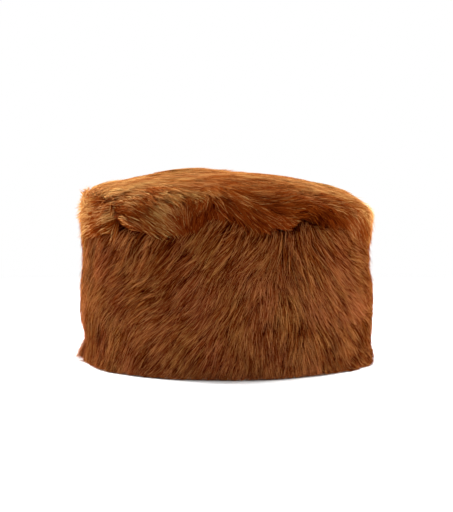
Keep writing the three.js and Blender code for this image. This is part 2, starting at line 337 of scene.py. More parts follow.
# How much clumps, wisps and strands differ, in shares, millimetres and degrees
ROOT_SCATTER = dict(round=0.36, down=0.45)
TURN_SCATTER = 0.6
CLUMP_SCATTER = dict(length=(0.82, 1.18), puff=0.4, tone_wave=0.1, tone=0.05, hue_wave=0.24, hue=0.08)
WISP_SCATTER = dict(side=2.3, ahead=4, depth=3.2, tone=0.08, length=(0.8, 1.1))
STRAND_SCATTER = dict(
    length=(0.72, 1.12), side=0.6, ahead=1.6, turn=1.2, bend=0.5, tip_rise=0.7, flare=(0.4, 1),
    hem=(0.7, 1.6), roll=35, tone=0.28, hue=0.12,
)
MIDDLE_TONE = 0.45
MIDDLE_HUE = 0.5

# Deep wisps are fewer than high ones, and darker: painted shade deep in the fur
DEEP_POWER = 1.4
DEEP_PAINTED_SHADE = 0.1
EVEN_DEPTH = 1.2

# Stray strands, which stand out further and are finer
STRAYS = dict(share=0.13, rise=(0.5, 3.2), width=0.6)

# How upright a form faces on the flat top, and how much calmer its hair is there
FLAT_FROM = 0.84
FLAT_BLEND = 0.15
FLAT_LESS = dict(puff=0.5, tone=0.5, hue=0.1, contrast=0.6, tip_rise=0.7, rise=0.3, depth=0.75)
MOST_CALM = 0.75

# How much wisps and strands draw together towards their tips
WISP_PINCH = 0.4
STRAND_PINCH = 0.75

# Height that no hair reaches below, and the shortest strand as a share of its length
HEM_LINE = 0.4
SHORTEST = 0.16

# Underfur: how deep it lies, how far its foot stays above the floor, and the shares of its rings
UNDERFUR_DEPTH = 6.5
UNDERFUR_FOOT = 1.2
SIDE_RINGS = np.linspace(0.02, 0.995, 34)
CROWN_RINGS = np.linspace(0.004, 0.98, 44)

# Looks: steps of tone and hue, the margin of their columns in the map, and the light let through
TONE_STEPS = 12
HUE_STEPS = 6
MAP_MARGIN = 0.2
LIGHT_THROUGH = 0.4

QUARTERS = ["front", "right", "back", "left"]


def smooth(value):
    value = np.clip(value, 0, 1)
    return value * value * (3 - 2 * value)


def mix(low, high, share):
    return low + (high - low) * share


def unit(vectors):
    return vectors / np.maximum(np.linalg.norm(vectors, axis=-1, keepdims=True), 1e-9)


def wrap(bearing):
    return np.mod(np.asarray(bearing, float) + 180, 360) - 180


def column_at(rows, key, column, at):
    """Smooth value of a table's column at places between its rows, and flat past its ends."""
    keys = np.array([row[key] for row in rows], float)
    values = np.array([row[column] for row in rows], float)
    at = np.clip(at, keys[0], keys[-1])
    after = np.clip(np.searchsorted(keys, at, side="right"), 1, len(keys) - 1)
    share = smooth((at - keys[after - 1]) / (keys[after] - keys[after - 1]))
    return mix(values[after - 1], values[after], share)


def round_value(rows, column, bearing):
    """The same round the hat, where the last row runs on into the first."""
    closed = rows + [dict(rows[0], bearing=rows[0]["bearing"] + 360)]
    return column_at(closed, "bearing", column, wrap(bearing))


def oval(bearing, stand, height):
    angle = np.radians(bearing)
    x = (HALF_WIDTH + stand) * np.sin(angle)
    y = -(HALF_DEPTH + stand) * np.cos(angle)
    return np.stack(np.broadcast_arrays(x, y, np.asarray(height, float)), axis=-1)


def compass(bearing):
    angle = np.radians(bearing)
    return np.stack([np.sin(angle), -np.cos(angle)], axis=-1)


class Ripple:
    """Soft noise in space between about -1 and 1: a few waves of like size in random directions."""

    def __init__(self, rng, size, waves=9):
        directions = unit(rng.normal(size=(waves, 3)))
        self.turns = directions * (2 * math.pi / size) * rng.uniform(*WAVE_SPREAD, (waves, 1))
        self.phases = rng.uniform(0, 2 * math.pi, waves)

    def __call__(self, points):
        waves = np.sin(points @ self.turns.T + self.phases)
        return waves.sum(axis=-1) / math.sqrt(len(self.phases))


def side_section(bearing):
    """Outer form of the side hair at one bearing, from the crease down to the hem."""
    rim = round_value(CREASE_LINE, "height", bearing)
    meet = round_value(CREASE_LINE, "meet", bearing)
    edge = np.sin(np.linspace(math.pi / 2, 0, EDGE_POINTS))
    shoulder = rim - CREASE_ROUND
    height = np.concatenate([shoulder + CREASE_ROUND * edge, np.linspace(shoulder, 0, UPRIGHT_POINTS)[1:]])
    up = np.concatenate([edge, np.zeros(UPRIGHT_POINTS - 1)])
    upright = column_at(SIDE_OUTLINE, "height", "stand", height)
    stand = mix(upright, meet, 1 - np.sqrt(1 - up * up))
    return oval(bearing, stand, height)


def crown_over(bearing):
    """Top and shoulder of the crown at one bearing, with the heights of the crease and the widest line."""
    rim = round_value(CREASE_LINE, "height", bearing)
    east = math.sin(math.radians(bearing))
    bulge = max(BULGE_LEVEL + BULGE_TILT * east, rim + BULGE_OVER_CREASE)
    power = SHOULDER_POWER + SHOULDER_POWER_TILT * east
    reach = 1 - (1 - np.linspace(0, 1, OVER_POINTS)) ** 2
    shoulder = (1 - reach ** power) ** (1 / power)
    height = bulge + (CROWN_TOP - bulge) * shoulder + CROWN_DOME * (1 - reach ** 2)
    widest = oval(bearing, CROWN_STAND, 0)
    line = np.stack([widest[0] * reach, widest[1] * reach, height], axis=-1)
    return line, rim, bulge


def crown_section(bearing):
    """Outer form of the crown hair at one bearing, drooping past the widest line over the crease."""
    line, rim, bulge = crown_over(bearing)
    meet = round_value(CREASE_LINE, "meet", bearing) + DROOP_OVER_SIDE
    down = np.linspace(0, 1, DROOP_POINTS)[1:]
    stand = CROWN_STAND - (CROWN_STAND - meet) * down ** 2
    foot = rim - round_value(CREASE_LINE, "past", bearing)
    droop = oval(bearing, stand, mix(bulge, foot, down))
    return np.concatenate([line, droop])


def crown_tuck(bearing):
    """The crown's own form at one bearing, turning in under its widest line to the crease."""
    line, rim, bulge = crown_over(bearing)
    turn = np.linspace(0, math.pi / 2, TUCK_POINTS)[1:]
    stand = mix(CROWN_STAND, CREASE_STAND, 1 - np.cos(turn))
    tuck = oval(bearing, stand, mix(bulge, rim, np.sin(turn)))
    return np.concatenate([line, tuck])


def evenly(points, count):
    """The same line with its points at equal steps along it, and its length."""
    steps = np.linalg.norm(np.diff(points, axis=0), axis=1)
    along = np.concatenate([[0], np.cumsum(steps)])
    at = np.linspace(0, along[-1], count)
    line = np.stack([np.interp(at, along, points[:, axis]) for axis in range(3)], axis=1)
    return line, along[-1]


class Form:
    """Outer form of a fur as a grid of points by bearing and share, with its directions.

    Inner is its upper end's radius on a flat chart: 0 where the sections meet, 1 where they form a ring.
    """

    def __init__(self, section, inner):
        lines = [evenly(section(bearing), SECTION_POINTS) for bearing in BEARINGS]
        self.inner = inner
        self.points = np.stack([line for line, _ in lines])
        self.length = np.array([length for _, length in lines])
        turned = np.roll(self.points, -1, axis=0) - np.roll(self.points, 1, axis=0)
        per_turn = turned / math.radians(2 * BEARING_STEP)
        self.down = unit(np.gradient(self.points, axis=1))
        self.round = unit(per_turn)
        self.round[:, 0] = self.round[:, 1]
        self.out = unit(np.cross(self.down, self.round))
        self.reach = np.linalg.norm(per_turn, axis=-1)
        self.reach[:, 0] = np.maximum(self.reach[:, 0], TINY)

    def at(self, grid, bearing, share):
        """Value of a grid between its points."""
        column = np.mod(bearing, 360) / BEARING_STEP
        row = np.clip(share, 0, 1) * (SECTION_POINTS - 1)
        left = np.floor(column).astype(int) % len(BEARINGS)
        right = (left + 1) % len(BEARINGS)
        upper = np.minimum(np.floor(row).astype(int), SECTION_POINTS - 2)
        across = column - np.floor(column)
        along = row - upper
        if grid.ndim == 3:
            across = across[..., None]
            along = along[..., None]
        above = mix(grid[left, upper], grid[right, upper], across)
        below = mix(grid[left, upper + 1], grid[right, upper + 1], across)
        return mix(above, below, along)

    def section_length(self, bearing):
        return np.interp(np.mod(bearing, 360), BEARINGS, self.length, period=360)

    def frame(self, bearing, share):
        """Point and directions down, round and out at places on the form."""
        point = self.at(self.points, bearing, share)
        down = unit(self.at(self.down, bearing, share))
        out = unit(self.at(self.out, bearing, share))
        past = np.maximum(share - 1, 0) * self.section_length(bearing)
        before = np.minimum(share, 0) * self.section_length(bearing)
        point = point + down * (past + before)[..., None]
        return point, down, unit(np.cross(out, down)), out


def side_lean(points, bearing, share):
    """Lean of the side hair, from the table's three levels."""
    height = points[..., 2]
    top = round_value(SIDE_COMBING, "top", bearing)
    middle = round_value(SIDE_COMBING, "middle", bearing)
    foot = round_value(SIDE_COMBING, "foot", bearing)
    upper = mix(middle, top, smooth((height - MIDDLE_TO_TOP) / LEAN_BLEND))
    return mix(foot, upper, smooth((height - FOOT_TO_MIDDLE) / LEAN_BLEND))


def crown_lean(points, bearing, share):
    """Lean of the crown hair, from the nearest arrows of its chart."""
    place = share[..., None] * compass(bearing)
    total = np.zeros(place.shape)
    for arrow in CROWN_COMBING:
        at = arrow["share"] * compass(arrow["bearing"])
        near = 1 / (((place - at) ** 2).sum(axis=-1) + ARROW_BLUR) ** ARROW_FADE
        total += near[..., None] * compass(arrow["bearing"] + arrow["lean"])
    heading = np.degrees(np.arctan2(total[..., 0], -total[..., 1]))
    return wrap(heading - bearing)


def walk(form, lean_at, bearing, share, length, wander, bend):
    """Lines of hair from places on a form: points and directions at equal steps.

    The bend is the share of the combing's turns that a line follows. On the crown, a line without
    any keeps its compass heading.
    """
    spot = (form.inner + share)[:, None] * compass(bearing)
    stride = length * PATH_REACH / PATH_STEPS
    stops = []
    first = None
    for _ in range(PATH_STEPS + 1):
        bearing = np.degrees(np.arctan2(spot[:, 0], -spot[:, 1]))
        radius = np.linalg.norm(spot, axis=1)
        share = radius - form.inner
        point, down, around, out = form.frame(bearing, share)
        plan = bearing * (1 - form.inner)
        heading = plan + lean_at(point, bearing, share) + wander(point)
        first = heading if first is None else first
        lean = np.radians(first + bend * wrap(heading - first) - plan)
        ahead = down * np.cos(lean)[:, None] + around * np.sin(lean)[:, None]
        stops.append(dict(point=point, ahead=ahead, side=unit(np.cross(out, ahead)), out=out))
        reach = np.maximum(form.at(form.reach, bearing, share), TINY)
        outwards = stride * np.cos(lean) / form.section_length(bearing)
        sideways = stride * np.sin(lean) * np.maximum(radius, TINY) / reach
        spot = spot + outwards[:, None] * compass(bearing) + sideways[:, None] * compass(bearing + 90)
    return {key: np.stack([stop[key] for stop in stops], axis=1) for key in stops[0]}


def rooted(rng, form, hair):
    """Places of the clumps: rows spread evenly over a form with a little scatter, and the tufts."""
    span = hair["last"] - hair["first"]
    spacing = hair["spacing"]
    astray = ROOT_SCATTER["round"]
    rows = int(round(span * form.length.mean() / spacing))
    bearings = []
    shares = []
    for row in range(rows):
        share = hair["first"] + span * (row + 0.5) / rows
        ring = form.at(form.reach, BEARINGS, np.full(len(BEARINGS), max(share, 0)))
        count = max(int(round(2 * math.pi * ring.mean() / spacing)), 3)
        turn = (np.arange(count) + rng.uniform() + rng.uniform(-astray, astray, count)) * 360 / count
        bearings.append(wrap(turn))
        shares.append(share + rng.uniform(-ROOT_SCATTER["down"], ROOT_SCATTER["down"], count) * span / rows)
    bearing = np.concatenate(bearings)
    share = np.maximum(np.concatenate(shares), hair["least"])
    for tuft in hair["tufts"]:
        bearing = np.append(bearing, rng.normal(tuft["bearing"], tuft["turn"], tuft["clumps"]))
        share = np.append(share, rng.normal(tuft["share"], tuft["drop"], tuft["clumps"]))
    return bearing, share


def gather(stops, clump, at):
    """Values of the clumps' lines at shares of their length, one row of places for each strand."""
    place = np.clip(at, 0, LINE_END) * PATH_STEPS
    before = np.floor(place).astype(int)
    share = (place - before)[..., None]
    rows = clump[:, None]
    return {key: mix(value[rows, before], value[rows, before + 1], share) for key, value in stops.items()}


def patched(patches, points, column):
    """Sum of the patches' values at points, each fading out from its middle."""
    total = np.zeros(points.shape[:-1])
    for place in patches:
        middle = oval(place["bearing"], place["stand"], place["height"])
        offset = points - middle
        across = np.hypot(offset[..., 0], offset[..., 1]) / place["wide"]
        upright = offset[..., 2] / place["tall"]
        total += place[column] * np.exp(-(across ** 2 + upright ** 2))
    return total


def grow_clumps(rng, form, lean_at, hair):
    """Clumps of hair: their lines over the form, and how each differs in puff, colour and reach."""
    waves = {name: Ripple(rng, size) for name, size in WAVES.items()}
    bearing, share = rooted(rng, form, hair)
    count = len(bearing)
    length = hair["length"] * rng.uniform(*CLUMP_SCATTER["length"], count)
    turn = rng.normal(0, TURN_SCATTER * hair["wander"], count)

    def wander(point):
        return hair["wander"] * waves["turn"](point) + turn

    stops = walk(form, lean_at, bearing, share, length, wander, hair["bend"])
    middle = stops["point"][:, MIDDLE_STEP]
    flat_top = smooth((stops["out"][:, MIDDLE_STEP, 2] - FLAT_FROM) / FLAT_BLEND)
    columns = ["dip", "shade", "flare", "calm", "trim"]
    changes = {column: patched(hair["patches"], middle, column) for column in columns}

    own_puff = waves["puff"](middle) + rng.normal(0, CLUMP_SCATTER["puff"], count)
    puff = hair["puff"] * (1 - FLAT_LESS["puff"] * flat_top) * own_puff - hair["sink"] - changes["dip"]
    tone_wave = CLUMP_SCATTER["tone_wave"] * waves["tone"](middle)
    own_tone = tone_wave + rng.normal(0, CLUMP_SCATTER["tone"], count)
    # The tone carries the patches' painted light and shade, and the flat top's painted light from above
    tone = own_tone * (1 - FLAT_LESS["tone"] * flat_top) + changes["shade"] + hair["painted_top_light"] * flat_top
    hue_wave = (CLUMP_SCATTER["hue_wave"] - FLAT_LESS["hue"] * flat_top) * waves["hue"](middle)
    hue = hue_wave + rng.normal(0, CLUMP_SCATTER["hue"], count)
    calm = np.clip(changes["calm"] + FLAT_LESS["contrast"] * flat_top, 0, MOST_CALM)
    return dict(
        stops=stops, bearing=bearing, flat_top=flat_top, puff=puff, tone=tone, hue=hue,
        flare=changes["flare"], contrast=(1 - calm) * hair["contrast"], reach=1 - changes["trim"],
    )


def grow_wisps(rng, hair, clumps):
    """Wisps of hair in their clumps: where each lies, and how it differs in colour and length."""
    count = clumps * hair["wisps"]
    side = rng.normal(0, WISP_SCATTER["side"], count)
    ahead = rng.uniform(-WISP_SCATTER["ahead"], WISP_SCATTER["ahead"], count)
    turn = np.radians(rng.normal(0, TURN_SCATTER * hair["wander"], count))
    depth = -WISP_SCATTER["depth"] * rng.uniform(0, 1, count) ** DEEP_POWER
    # Deeper wisps are made darker, as painted shade
    tone = rng.normal(0, WISP_SCATTER["tone"], count) + DEEP_PAINTED_SHADE * (depth + EVEN_DEPTH)
    length = rng.uniform(*WISP_SCATTER["length"], count)
    clump = np.repeat(np.arange(clumps), hair["wisps"])
    return dict(clump=clump, side=side, ahead=ahead, turn=turn, depth=depth, tone=tone, length=length)


def reach_to_hem(stops, hem):
    """How far along each clump's line its hair may reach before it comes down to the hem."""
    height = stops["point"][:, :, 2]
    above = (height > hem).sum(axis=1)
    before = np.clip(above - 1, 0, PATH_STEPS - 1)
    rows = np.arange(len(height))
    drop = np.maximum(height[rows, before] - height[rows, before + 1], TINY)
    cut = (before + np.clip((height[rows, before] - hem) / drop, 0, 1)) / PATH_STEPS * PATH_REACH
    return np.where(above > PATH_STEPS, PATH_REACH, cut)


def ribbon_edges(rng, points, out, hair, stray):
    """Half widths of ribbons as vectors, each ribbon rolled a little out of the fur's surface."""
    count = len(points)
    ahead = unit(np.gradient(points, axis=1))
    flat = unit(np.cross(out, ahead))
    stood = unit(np.cross(ahead, flat))
    roll = np.radians(rng.uniform(-STRAND_SCATTER["roll"], STRAND_SCATTER["roll"], count))[:, None, None]
    edge = flat * np.cos(roll) + stood * np.sin(roll)
    width = rng.uniform(*hair["half"], count) * np.where(stray, STRAYS["width"], 1)
    return edge * (width[:, None] * np.array(hair["widths"]))[..., None]


def grow(rng, form, lean_at, hair, hem=None):
    """Strands in wisps in clumps: points and half widths at their stations, tones, hues and bearings."""
    clumps = grow_clumps(rng, form, lean_at, hair)
    wisps = grow_wisps(rng, hair, len(clumps["bearing"]))
    wisp = np.repeat(np.arange(len(wisps["clump"])), hair["strands"])
    clump = wisps["clump"][wisp]
    own_length = wisps["length"][wisp] * rng.uniform(*STRAND_SCATTER["length"], len(wisp))
    reach = np.minimum(own_length * clumps["reach"][clump], PATH_REACH)
    if hem is not None:
        limit = reach_to_hem(clumps["stops"], hem)
        reach = np.minimum(reach, limit[clump] - wisps["ahead"][wisp] / hair["length"])
    keep = reach > SHORTEST
    wisp = wisp[keep]
    clump = clump[keep]
    reach = reach[keep]
    count = len(wisp)

    stations = np.array(hair["stations"])
    at = stations[None, :] * reach[:, None]
    line = gather(clumps["stops"], clump, at / PATH_REACH)
    flat_top = clumps["flat_top"][clump, None]
    side = rng.normal(0, STRAND_SCATTER["side"], count)
    ahead = wisps["ahead"][wisp] + rng.uniform(-STRAND_SCATTER["ahead"], STRAND_SCATTER["ahead"], count)
    turn = wisps["turn"][wisp] + np.radians(rng.normal(0, STRAND_SCATTER["turn"], count))
    bend = rng.normal(0, STRAND_SCATTER["bend"], count)
    stray = rng.uniform(size=count) < STRAYS["share"]
    tip_rise = rng.normal(hair["tip_rise"], STRAND_SCATTER["tip_rise"], count)
    tip_rise = tip_rise + stray * rng.uniform(*STRAYS["rise"], count)
    flare = clumps["flare"][clump] * rng.uniform(*STRAND_SCATTER["flare"], count)

    travelled = at * hair["length"]
    pinch = stations ** 1.5
    across = wisps["side"][wisp, None] * (1 - WISP_PINCH * pinch) + side[:, None] * (1 - STRAND_PINCH * pinch)
    across = across + np.tan(turn)[:, None] * travelled + bend[:, None] * np.sin(math.pi * stations)
    rise = smooth(stations / (hair["rise"] - FLAT_LESS["rise"] * flat_top))
    highest = wisps["depth"][wisp, None] * (1 - FLAT_LESS["depth"] * flat_top) + clumps["puff"][clump, None]
    depth = mix(-hair["root_depth"], highest, rise)
    depth = depth + tip_rise[:, None] * (1 - FLAT_LESS["tip_rise"] * flat_top) * stations ** 2
    depth = depth + flare[:, None] * stations ** 4
    points = (
        line["point"]
        + line["side"] * across[..., None]
        + line["ahead"] * ahead[:, None, None]
        + line["out"] * depth[..., None]
    )
    if hem is not None:
        lowest = hem * rng.uniform(*STRAND_SCATTER["hem"], count)
        points[..., 2] = np.maximum(points[..., 2], lowest[:, None])

    half = ribbon_edges(rng, points, line["out"], hair, stray)
    own_tone = wisps["tone"][wisp] + rng.normal(0, STRAND_SCATTER["tone"], count)
    tone = MIDDLE_TONE + clumps["tone"][clump] + own_tone * clumps["contrast"][clump]
    hue = MIDDLE_HUE + clumps["hue"][clump] + rng.normal(0, STRAND_SCATTER["hue"], count)
    bearing = wrap(clumps["bearing"][clump])
    return dict(points=points, half=half, tone=tone, hue=hue, bearing=bearing, stations=stations)


def stepped(values, steps):
    """Whole steps from 0 up, for values from 0 to 1."""
    return np.round(np.clip(values, 0, 1) * (steps - 1))


def ribbon_mesh(name, corners, segments):
    """A mesh of ribbons from their corners: quads along each, and a triangle at its tip."""
    count, per_ribbon, _ = corners.shape
    faces = [(2 * k, 2 * k + 1, 2 * k + 3, 2 * k + 2) for k in range(segments - 1)]
    faces.append((2 * segments - 2, 2 * segments - 1, 2 * segments))
    pattern = np.array([corner for face in faces for corner in face])
    first = np.arange(count)[:, None] * per_ribbon
    loops = (first + pattern[None, :]).ravel().astype(np.int32)
    totals = np.tile([len(face) for face in faces], count)
    starts = np.concatenate([[0], np.cumsum(totals)[:-1]]).astype(np.int32)

    mesh = bpy.data.meshes.new(name)
    mesh.vertices.add(count * per_ribbon)
    mesh.vertices.foreach_set("co", corners.ravel())
    mesh.loops.add(len(loops))
    mesh.loops.foreach_set("vertex_index", loops)
    mesh.polygons.add(len(totals))
    mesh.polygons.foreach_set("loop_start", starts)
    mesh.polygons.foreach_set("use_smooth", np.ones(len(totals), bool))
    mesh.update(calc_edges=True)
    return mesh, loops


def add_attribute(mesh, name, values):
    attribute = mesh.attributes.new(name, "FLOAT", "POINT")
    attribute.data.foreach_set("value", np.ascontiguousarray(values, np.float32))


def ribbons(name, hair, chosen, material):
    """One piece of tapered ribbons, with their tone, hue and place along the hair."""
    points = hair["points"][chosen]
    half = hair["half"][chosen]
    stations = hair["stations"]
    count = len(points)
    segments = len(stations) - 1
    per_ribbon = 2 * segments + 1
    corners = np.empty((count, per_ribbon, 3), np.float32)
    corners[:, 0:-1:2] = points[:, :-1] - half[:, :-1]
    corners[:, 1:-1:2] = points[:, :-1] + half[:, :-1]
    corners[:, -1] = points[:, -1]
    corners *= MM
    mesh, loops = ribbon_mesh(name, corners, segments)

    tone = stepped(hair["tone"][chosen], TONE_STEPS)
    hue = stepped(hair["hue"][chosen], HUE_STEPS)
    along = np.repeat(stations, 2)[:-1]
    add_attribute(mesh, "tone", np.repeat(tone / (TONE_STEPS - 1), per_ribbon))
    add_attribute(mesh, "hue", np.repeat(hue / (HUE_STEPS - 1), per_ribbon))
    add_attribute(mesh, "along", np.tile(along, count))

    # Each tone and hue has its own column of the map, and the hair runs up it
    columns = TONE_STEPS * HUE_STEPS
    left = (tone * HUE_STEPS + hue + MAP_MARGIN) / columns
    side = np.tile([0.0, 1.0], segments + 1)[:-1]
    side[-1] = 0.5
    across = left[:, None] + side[None, :] * (1 - 2 * MAP_MARGIN) / columns
    map_points = np.stack([across, np.broadcast_to(along, across.shape)], axis=-1).reshape(-1, 2)
    layer = mesh.uv_layers.new(name="OFBake")
    layer.uv.foreach_set("vector", map_points[loops].astype(np.float32).ravel())
    return piece(name, mesh, material)


def piece(name, mesh, material):
    """An object for a mesh, riding on the hat's body with its finish."""
    thing = bpy.data.objects.new(name, mesh)
    bpy.context.scene.collection.objects.link(thing)
    mesh.materials.append(material)
    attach(thing, BODY)
    return thing


def grid_mesh(name, rows):
    """A smooth mesh from rings of points, where each ring goes all round the hat."""
    rings, around, _ = rows.shape
    corners = rows.reshape(-1, 3)
    faces = []
    map_points = []
    for ring in range(rings - 1):
        for turn in range(around):
            after = (turn + 1) % around
            here = ring * around
            there = here + around
            faces.append((here + turn, there + turn, there + after, here + after))
            left = turn / around
            right = (turn + 1) / around
            upper = 1 - ring / (rings - 1)
            lower = 1 - (ring + 1) / (rings - 1)
            map_points += [(left, upper), (left, lower), (right, lower), (right, upper)]
    mesh = bpy.data.meshes.new(name)
    mesh.from_pydata((corners * MM).tolist(), [], faces)
    mesh.polygons.foreach_set("use_smooth", np.ones(len(faces), bool))
    layer = mesh.uv_layers.new(name="OFBake")
    layer.uv.foreach_set("vector", np.array(map_points, np.float32).ravel())
    mesh.update()
    return mesh


class Shader:
    """A material's one Principled shader and short ways to add nodes to it."""

    def __init__(self, name):
        self.material = bpy.data.materials.new(name)
        self.material.use_nodes = True
        self.nodes = self.material.node_tree.nodes
        self.links = self.material.node_tree.links
        self.main = self.nodes["Principled BSDF"]

    def node(self, kind, **settings):
        made = self.nodes.new(kind)
        for key, value in settings.items():
            setattr(made, key, value)
        return made

    def link(self, output, target):
        self.links.new(output, target)

    def attribute(self, name):
        return self.node("ShaderNodeAttribute", attribute_name=name).outputs["Fac"]

    def ramp(self, value, stops):
        """Colours of a value, from (place, sRGB colour) stops."""
        made = self.node("ShaderNodeValToRGB")
        elements = made.color_ramp.elements
        while len(elements) < len(stops):
            elements.new(0.5)
        for element, (place, colour) in zip(elements, stops):
            element.position = place
            element.color = (*linear(colour), 1)
        self.link(value, made.inputs["Fac"])
        return made.outputs["Color"]

    def mixed(self, factor, first, second, blend="MIX"):
        made = self.node("ShaderNodeMix", data_type="RGBA", blend_type=blend)
        for socket, value in (("Factor", factor), ("A", first), ("B", second)):
            target = [s for s in made.inputs if s.name == socket and s.enabled][0]
            if isinstance(value, bpy.types.NodeSocket):
                self.link(value, target)
            else:
                target.default_value = value
        return [s for s in made.outputs if s.enabled][0]

    def noise(self, scale, detail):
        """Soft noise that stays with the object."""
        made = self.node("ShaderNodeTexNoise")
        made.inputs["Scale"].default_value = scale
        made.inputs["Detail"].default_value = detail
        self.link(self.node("ShaderNodeTexCoord").outputs["Object"], made.inputs["Vector"])
        return made.outputs["Fac"]

    def bump(self, height, strength, distance):
        """Small unevenness of the surface."""
        made = self.node("ShaderNodeBump")
        made.inputs["Strength"].default_value = strength
        made.inputs["Distance"].default_value = distance
        self.link(height, made.inputs["Height"])
        self.link(made.outputs["Normal"], self.main.inputs["Normal"])

    def surface(self, roughness, shine):
        self.main.inputs["Roughness"].default_value = roughness
        self.main.inputs["Specular IOR Level"].default_value = shine


def linear(colour):
    """Linear light of an sRGB colour given from 0 to 255."""
    share = np.array(colour, float) / 255
    low = share / 12.92
    high = ((share + 0.055) / 1.055) ** 2.4
    return tuple(np.where(share <= 0.04045, low, high))


def hair_material(name, tones, red, gold, shades):
    """Brown hair that lightens towards its tip and lets light through, with each strand's tone and hue."""
    shader = Shader(name)
    tone = shader.ramp(shader.attribute("tone"), tones)
    tint = shader.ramp(shader.attribute("hue"), [(0, red), (1, gold)])
    coloured = shader.mixed(1.0, tone, tint, "MULTIPLY")
    shade = shader.ramp(shader.attribute("along"), shades)
    colour = shader.mixed(1.0, coloured, shade, "MULTIPLY")
    shader.link(colour, shader.main.inputs["Base Color"])
    shader.surface(roughness=0.6, shine=0.0)
    through = shader.node("ShaderNodeBsdfTranslucent")
    shader.link(colour, through.inputs["Color"])
    both = shader.node("ShaderNodeMixShader")
    both.inputs[0].default_value = LIGHT_THROUGH
    shader.link(shader.main.outputs[0], both.inputs[1])
    shader.link(through.outputs[0], both.inputs[2])
    shader.link(both.outputs[0], shader.nodes["Material Output"].inputs["Surface"])
    return shader.material


def underfur_material(name, dark, light):
    """Matted hair deep between the strands, dark: partly its own colour, partly painted shade of the fur's
    depth.
    """
    shader = Shader(name)
    noise = shader.noise(scale=420, detail=3)
    matted = shader.ramp(noise, [(0.3, dark), (0.7, light)])
    shader.link(matted, shader.main.inputs["Base Color"])
    shader.bump(noise, strength=0.6, distance=0.001)
    shader.surface(roughness=0.9, shine=0.0)
    return shader.material


def hide_material():
    """Undyed suede: fine nap, soft blotches and a low bump."""
    shader = Shader("hide_suede")
    blotch = shader.noise(scale=26, detail=5)
    nap = shader.noise(scale=900, detail=2)
    base = shader.ramp(blotch, [(0.3, (176, 139, 101)), (0.7, (208, 174, 134))])
    fine = shader.ramp(nap, [(0.3, (215, 213, 210)), (0.7, (255, 255, 255))])
    shader.link(shader.mixed(1.0, base, fine, "MULTIPLY"), shader.main.inputs["Base Color"])
    shader.bump(nap, strength=0.5, distance=0.0004)
    shader.surface(roughness=0.88, shine=0.2)
    return shader.material


def floor_material():
    """Matt pale floor that runs out into the white surround."""
    shader = Shader("pale_floor")
    shader.main.inputs["Base Color"].default_value = (0.8, 0.8, 0.8, 1)
    shader.surface(roughness=0.9, shine=0.1)
    far = shader.node("ShaderNodeEmission")
    far.inputs["Color"].default_value = (1, 1, 1, 1)
    where = shader.node("ShaderNodeTexCoord").outputs["Object"]
    away = shader.node("ShaderNodeVectorMath", operation="LENGTH")
    shader.link(where, away.inputs[0])
    fade = shader.node("ShaderNodeMapRange", interpolation_type="SMOOTHSTEP")
    fade.inputs["From Min"].default_value = 0.25
    fade.inputs["From Max"].default_value = 0.9
    shader.link(away.outputs["Value"], fade.inputs["Value"])
    path = shader.node("ShaderNodeLightPath")
    seen = shader.node("ShaderNodeMath", operation="MULTIPLY")
    shader.link(fade.outputs["Result"], seen.inputs[0])
    shader.link(path.outputs["Is Camera Ray"], seen.inputs[1])
    both = shader.node("ShaderNodeMixShader")
    shader.link(seen.outputs["Value"], both.inputs[0])
    shader.link(shader.main.outputs[0], both.inputs[1])
    shader.link(far.outputs[0], both.inputs[2])
    shader.link(both.outputs[0], shader.nodes["Material Output"].inputs["Surface"])
    return shader.material


def camera():
    """The photograph's camera: level with the crown, far off and looking slightly down."""
    distance = 1.5
    height = 0.187
    tilt = 3.87
    data = bpy.data.cameras.new("camera")
    data.lens = 128.7
    data.sensor_width = 36
    made = bpy.data.objects.new("camera", data)
    made.location = (0, -distance, height)
    made.rotation_euler = (math.radians(90 - tilt), 0, 0)
    bpy.context.scene.collection.objects.link(made)
    bpy.context.scene.camera = made


def area_light(name, place, target, size, power):
    data = bpy.data.lights.new(name, "AREA")
    data.shape = "RECTANGLE"
    data.size = size[0]
    data.size_y = size[1]
    data.energy = power
    made = bpy.data.objects.new(name, data)
    made.location = place
    aim = np.array(target, float) - np.array(place, float)
    made.rotation_euler = Vector(aim).to_track_quat("-Z", "Y").to_euler()
    bpy.context.scene.collection.objects.link(made)


def surround():
    """White to the camera, and a faint warm light on the hat."""
    world = bpy.data.worlds.new("surround")
    bpy.context.scene.world = world
    world.use_nodes = True
    nodes = world.node_tree.nodes
    links = world.node_tree.links
    seen = nodes["Background"]
    seen.inputs["Color"].default_value = (1, 1, 1, 1)
    lit = nodes.new("ShaderNodeBackground")
    lit.inputs["Color"].default_value = (1, 0.98, 0.96, 1)
    lit.inputs["Strength"].default_value = 0.15
    path = nodes.new("ShaderNodeLightPath")
    chosen = nodes.new("ShaderNodeMixShader")
    links.new(path.outputs["Is Camera Ray"], chosen.inputs[0])
    links.new(lit.outputs[0], chosen.inputs[1])
    links.new(seen.outputs[0], chosen.inputs[2])
    links.new(chosen.outputs[0], nodes["World Output"].inputs["Surface"])


def pale_floor():
    """A large square of floor."""
    half = 6
    corners = [(x * half, y * half, 0) for x, y in ((-1, -1), (1, -1), (1, 1), (-1, 1))]
    mesh = bpy.data.meshes.new("floor")
    mesh.from_pydata(corners, [], [(0, 1, 2, 3)])
    floor = bpy.data.objects.new("floor", mesh)
    bpy.context.scene.collection.objects.link(floor)
    mesh.materials.append(floor_material())


def studio():
    """Soft light from above and behind, fainter light in front, a white surround and a pale floor."""
    area_light("overhead", (-0.4, 0.5, 1.35), (0, 0, 0.12), (1.3, 1.0), 50)
    area_light("left_rim", (-1.3, 0.85, 0.5), (0, 0, 0.07), (0.9, 0.9), 112)
    area_light("right_rim", (1.3, 0.8, 0.5), (0, 0, 0.07), (0.9, 0.9), 106)
    area_light("front_fill", (0.85, -1.75, 0.9), (0, 0, 0.06), (1.0, 0.8), 38)
    surround()
    pale_floor()
    bpy.context.scene.view_settings.view_transform = "Standard"


